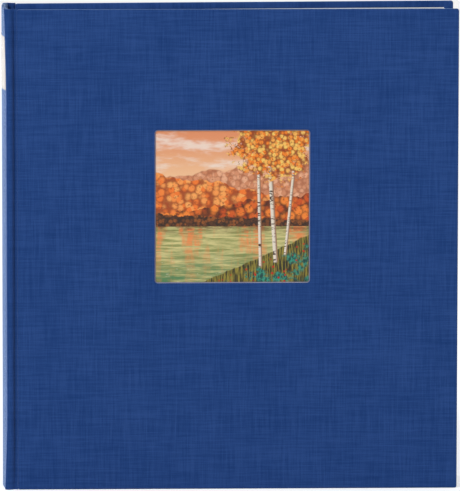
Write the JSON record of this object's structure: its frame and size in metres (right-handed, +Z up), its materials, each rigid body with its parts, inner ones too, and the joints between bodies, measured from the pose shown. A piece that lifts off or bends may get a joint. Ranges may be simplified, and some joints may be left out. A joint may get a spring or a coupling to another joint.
{
  "type": "scrapbook album",
  "caption": "Book-bound scrapbook album: hinged cloth-covered boards with a picture window, rounded spine with a bare label, card leaves with glassine interleaves that fan open.",
  "frame": {"origin": "under the middle of the bounding box, on the surface the album stands on", "axes": "+Z up along the spine from tail to head; +X from the spine to the fore-edge; +Y from the front cover to the back cover"},
  "size_m": [0.2934, 0.0504, 0.312],
  "materials": {
    "bookcloth": "matte",
    "grey_board": "matte",
    "white_card": "matte",
    "end_paper": "matte",
    "page_card": "matte",
    "glassine": "satin",
    "picture": "satin",
    "label_paper": "matte",
    "lining": "matte"
  },
  "bodies": {
    "block": {"spine_board": "grey_board", "spine_cloth": "bookcloth", "spine_label": "label_paper", "spine_lining": "lining", "page_guards": "page_card", "leaf_gutters": "page_card", "front_joint_cloth": "bookcloth", "back_joint_cloth": "bookcloth"},
    "front_cover": {"front_board": "grey_board", "front_cloth": "bookcloth", "front_infill": "white_card", "front_pastedown": "end_paper", "window_mount": "white_card", "window_print": "picture"},
    "back_cover": {"back_board": "grey_board", "back_cloth": "bookcloth", "back_infill": "white_card", "back_pastedown": "end_paper"},
    "front_flyleaf": {"front_flyleaf": "end_paper"},
    "back_flyleaf": {"back_flyleaf": "end_paper"},
    "leaf_01": {"leaf_01": "page_card", "glassine_01": "glassine"},
    "leaf_02": {"leaf_02": "page_card", "glassine_02": "glassine"},
    "leaf_03": {"leaf_03": "page_card", "glassine_03": "glassine"},
    "leaf_04": {"leaf_04": "page_card", "glassine_04": "glassine"},
    "leaf_05": {"leaf_05": "page_card", "glassine_05": "glassine"},
    "leaf_06": {"leaf_06": "page_card", "glassine_06": "glassine"},
    "leaf_07": {"leaf_07": "page_card", "glassine_07": "glassine"},
    "leaf_08": {"leaf_08": "page_card", "glassine_08": "glassine"},
    "leaf_09": {"leaf_09": "page_card", "glassine_09": "glassine"},
    "leaf_10": {"leaf_10": "page_card", "glassine_10": "glassine"},
    "leaf_11": {"leaf_11": "page_card", "glassine_11": "glassine"},
    "leaf_12": {"leaf_12": "page_card", "glassine_12": "glassine"},
    "leaf_13": {"leaf_13": "page_card", "glassine_13": "glassine"},
    "leaf_14": {"leaf_14": "page_card", "glassine_14": "glassine"},
    "leaf_15": {"leaf_15": "page_card", "glassine_15": "glassine"},
    "leaf_16": {"leaf_16": "page_card", "glassine_16": "glassine"},
    "leaf_17": {"leaf_17": "page_card", "glassine_17": "glassine"},
    "leaf_18": {"leaf_18": "page_card", "glassine_18": "glassine"},
    "leaf_19": {"leaf_19": "page_card", "glassine_19": "glassine"},
    "leaf_20": {"leaf_20": "page_card", "glassine_20": "glassine"}
  },
  "joints": [
    {"name": "front_cover_hinge", "type": "hinge", "parent": "block", "child": "front_cover", "pos_m": [-0.14055, -0.01955, 0], "axis": [0, 0, -1], "range_deg": [0, 178], "deforming": ["front_joint_cloth", "leaf_gutters"]},
    {"name": "back_cover_hinge", "type": "hinge", "parent": "block", "child": "back_cover", "pos_m": [-0.14055, 0.01955, 0], "axis": [0, 0, 1], "range_deg": [0, 178], "deforming": ["back_joint_cloth"]},
    {"name": "front_flyleaf_turn", "type": "hinge", "parent": "block", "child": "front_flyleaf", "pos_m": [-0.13584, -0.01485, 0], "axis": [0, 0, -1], "range_deg": [0, 131]},
    {"name": "back_flyleaf_turn", "type": "hinge", "parent": "block", "child": "back_flyleaf", "pos_m": [-0.13584, 0.01485, 0], "axis": [0, 0, 1], "range_deg": [0, 131]},
    {"name": "leaf_01_turn", "type": "hinge", "parent": "block", "child": "leaf_01", "pos_m": [-0.13584, -0.01378, 0], "axis": [0, 0, -1], "range_deg": [0, 122]},
    {"name": "leaf_02_turn", "type": "hinge", "parent": "block", "child": "leaf_02", "pos_m": [-0.13584, -0.01232, 0], "axis": [0, 0, -1], "range_deg": [0, 113.4]},
    {"name": "leaf_03_turn", "type": "hinge", "parent": "block", "child": "leaf_03", "pos_m": [-0.13584, -0.01087, 0], "axis": [0, 0, -1], "range_deg": [0, 105.1]},
    {"name": "leaf_04_turn", "type": "hinge", "parent": "block", "child": "leaf_04", "pos_m": [-0.13584, -0.00942, 0], "axis": [0, 0, -1], "range_deg": [0, 97.1]},
    {"name": "leaf_05_turn", "type": "hinge", "parent": "block", "child": "leaf_05", "pos_m": [-0.13584, -0.00797, 0], "axis": [0, 0, -1], "range_deg": [0, 89.4]},
    {"name": "leaf_06_turn", "type": "hinge", "parent": "block", "child": "leaf_06", "pos_m": [-0.13584, -0.00653, 0], "axis": [0, 0, -1], "range_deg": [0, 82]},
    {"name": "leaf_07_turn", "type": "hinge", "parent": "block", "child": "leaf_07", "pos_m": [-0.13584, -0.00507, 0], "axis": [0, 0, -1], "range_deg": [0, 74.9]},
    {"name": "leaf_08_turn", "type": "hinge", "parent": "block", "child": "leaf_08", "pos_m": [-0.13584, -0.00363, 0], "axis": [0, 0, -1], "range_deg": [0, 68.1]},
    {"name": "leaf_09_turn", "type": "hinge", "parent": "block", "child": "leaf_09", "pos_m": [-0.13584, -0.00217, 0], "axis": [0, 0, -1], "range_deg": [0, 61.6]},
    {"name": "leaf_10_turn", "type": "hinge", "parent": "block", "child": "leaf_10", "pos_m": [-0.13584, -0.00072, 0], "axis": [0, 0, -1], "range_deg": [0, 55.4]},
    {"name": "leaf_11_turn", "type": "hinge", "parent": "block", "child": "leaf_11", "pos_m": [-0.13584, 0.00072, 0], "axis": [0, 0, -1], "range_deg": [0, 49.5]},
    {"name": "leaf_12_turn", "type": "hinge", "parent": "block", "child": "leaf_12", "pos_m": [-0.13584, 0.00217, 0], "axis": [0, 0, -1], "range_deg": [0, 43.9]},
    {"name": "leaf_13_turn", "type": "hinge", "parent": "block", "child": "leaf_13", "pos_m": [-0.13584, 0.00363, 0], "axis": [0, 0, -1], "range_deg": [0, 38.6]},
    {"name": "leaf_14_turn", "type": "hinge", "parent": "block", "child": "leaf_14", "pos_m": [-0.13584, 0.00507, 0], "axis": [0, 0, -1], "range_deg": [0, 33.6]},
    {"name": "leaf_15_turn", "type": "hinge", "parent": "block", "child": "leaf_15", "pos_m": [-0.13584, 0.00653, 0], "axis": [0, 0, -1], "range_deg": [0, 28.9]},
    {"name": "leaf_16_turn", "type": "hinge", "parent": "block", "child": "leaf_16", "pos_m": [-0.13584, 0.00797, 0], "axis": [0, 0, -1], "range_deg": [0, 24.5]},
    {"name": "leaf_17_turn", "type": "hinge", "parent": "block", "child": "leaf_17", "pos_m": [-0.13584, 0.00942, 0], "axis": [0, 0, -1], "range_deg": [0, 20.4]},
    {"name": "leaf_18_turn", "type": "hinge", "parent": "block", "child": "leaf_18", "pos_m": [-0.13584, 0.01087, 0], "axis": [0, 0, -1], "range_deg": [0, 16.6]},
    {"name": "leaf_19_turn", "type": "hinge", "parent": "block", "child": "leaf_19", "pos_m": [-0.13584, 0.01232, 0], "axis": [0, 0, -1], "range_deg": [0, 13.1]},
    {"name": "leaf_20_turn", "type": "hinge", "parent": "block", "child": "leaf_20", "pos_m": [-0.13584, 0.01378, 0], "axis": [0, 0, -1], "range_deg": [0, 9.9]}
  ],
  "couplings": [
    {"joint": "front_flyleaf_turn", "follows": "front_cover_hinge", "ratio": 0.73596},
    {"joint": "back_flyleaf_turn", "follows": "back_cover_hinge", "ratio": 0.73596},
    {"joint": "leaf_01_turn", "follows": "front_cover_hinge", "ratio": 0.68539},
    {"joint": "leaf_02_turn", "follows": "front_cover_hinge", "ratio": 0.63708},
    {"joint": "leaf_03_turn", "follows": "front_cover_hinge", "ratio": 0.59045},
    {"joint": "leaf_04_turn", "follows": "front_cover_hinge", "ratio": 0.54551},
    {"joint": "leaf_05_turn", "follows": "front_cover_hinge", "ratio": 0.50225},
    {"joint": "leaf_06_turn", "follows": "front_cover_hinge", "ratio": 0.46067},
    {"joint": "leaf_07_turn", "follows": "front_cover_hinge", "ratio": 0.42079},
    {"joint": "leaf_08_turn", "follows": "front_cover_hinge", "ratio": 0.38258},
    {"joint": "leaf_09_turn", "follows": "front_cover_hinge", "ratio": 0.34607},
    {"joint": "leaf_10_turn", "follows": "front_cover_hinge", "ratio": 0.31123},
    {"joint": "leaf_11_turn", "follows": "front_cover_hinge", "ratio": 0.27809},
    {"joint": "leaf_12_turn", "follows": "front_cover_hinge", "ratio": 0.24663},
    {"joint": "leaf_13_turn", "follows": "front_cover_hinge", "ratio": 0.21685},
    {"joint": "leaf_14_turn", "follows": "front_cover_hinge", "ratio": 0.18876},
    {"joint": "leaf_15_turn", "follows": "front_cover_hinge", "ratio": 0.16236},
    {"joint": "leaf_16_turn", "follows": "front_cover_hinge", "ratio": 0.13764},
    {"joint": "leaf_17_turn", "follows": "front_cover_hinge", "ratio": 0.11461},
    {"joint": "leaf_18_turn", "follows": "front_cover_hinge", "ratio": 0.093258},
    {"joint": "leaf_19_turn", "follows": "front_cover_hinge", "ratio": 0.073595},
    {"joint": "leaf_20_turn", "follows": "front_cover_hinge", "ratio": 0.055617}
  ]
}
